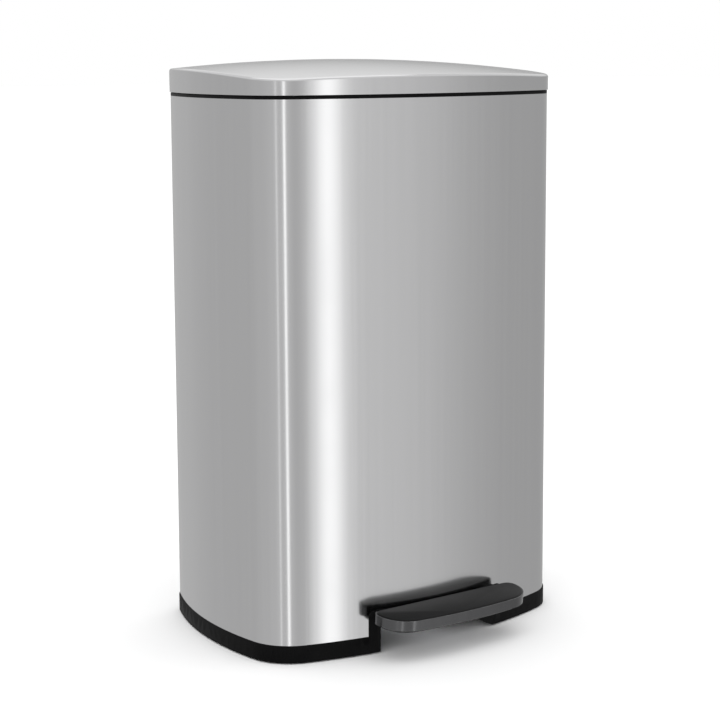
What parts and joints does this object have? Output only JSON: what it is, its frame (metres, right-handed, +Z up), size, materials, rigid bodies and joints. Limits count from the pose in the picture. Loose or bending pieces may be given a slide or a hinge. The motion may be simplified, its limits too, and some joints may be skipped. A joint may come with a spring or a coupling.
{
  "type": "pedal trash can",
  "caption": "Tall step-on waste bin with bowed brushed-steel sides, a shallow domed lid on a soft-closing rear hinge, a black base and a wide foot pedal.",
  "frame": {"origin": "on the floor, under the middle of the whole can's box, pedal and hinge housing included", "axes": "+Z up, the pedal and the bowed front face -Y, the hinge is at +Y, +X is to the right of someone who faces the front"},
  "size_m": [0.4122, 0.3548, 0.6409],
  "materials": {
    "brushed_steel": "satin brushed",
    "zinc_steel": "zinc plated",
    "pedal_steel": "dark satin",
    "black_plastic": "fine texture",
    "pedal_plastic": "satin",
    "grey_plastic": "satin",
    "rubber": "matt"
  },
  "bodies": {
    "root": {"body_shell": "brushed_steel", "rim_ring": "black_plastic", "base": "black_plastic", "pedal_surround": "black_plastic", "rubber_feet": "rubber", "inner_bucket": "grey_plastic", "hinge_housing": "black_plastic", "hinge_pin_left": "zinc_steel", "hinge_pin_right": "zinc_steel", "damper_barrel": "grey_plastic", "rod_cover": "black_plastic", "rod_grommet": "rubber", "axle_bracket_left": "grey_plastic", "axle_bracket_right": "grey_plastic", "pedal_axle": "zinc_steel", "axle_clips": "zinc_steel", "travel_stops": "rubber", "base_screws": "zinc_steel", "rim_screws": "zinc_steel", "housing_screws": "zinc_steel", "bracket_screws": "zinc_steel"},
    "lid": {"lid_shell": "brushed_steel", "lid_liner": "black_plastic", "lid_bracket": "zinc_steel", "crank_pin": "zinc_steel", "damper_shaft": "zinc_steel", "lid_bumpers": "rubber", "lid_screws": "zinc_steel"},
    "push_rod": {"push_rod": "zinc_steel", "foot_pin": "zinc_steel", "foot_pin_clips": "zinc_steel"},
    "pedal": {"pedal_lever": "zinc_steel", "pedal_core": "black_plastic", "pedal_pad": "pedal_plastic", "pedal_trim": "pedal_steel", "pedal_screws": "zinc_steel"}
  },
  "joints": [
    {"name": "lid_hinge", "type": "hinge", "parent": "root", "child": "lid", "pos_m": [0, 0.17222, 0.61], "axis": [-1, 0, 0], "range_deg": [0, 75]},
    {"name": "push_rod_crank", "type": "hinge", "parent": "lid", "child": "push_rod", "pos_m": [0, 0.15, 0.59296], "axis": [-1, 0, 0], "range_deg": [-75, 0]},
    {"name": "pedal_pivot", "type": "hinge", "parent": "root", "child": "pedal", "pos_m": [0, -0.05028, 0.035], "axis": [1, 0, 0], "range_deg": [0, 9.77]}
  ],
  "couplings": [
    {"joint": "push_rod_crank", "follows": "lid_hinge", "ratio": -1},
    {"joint": "pedal_pivot", "follows": "lid_hinge", "ratio": 0.13019}
  ]
}
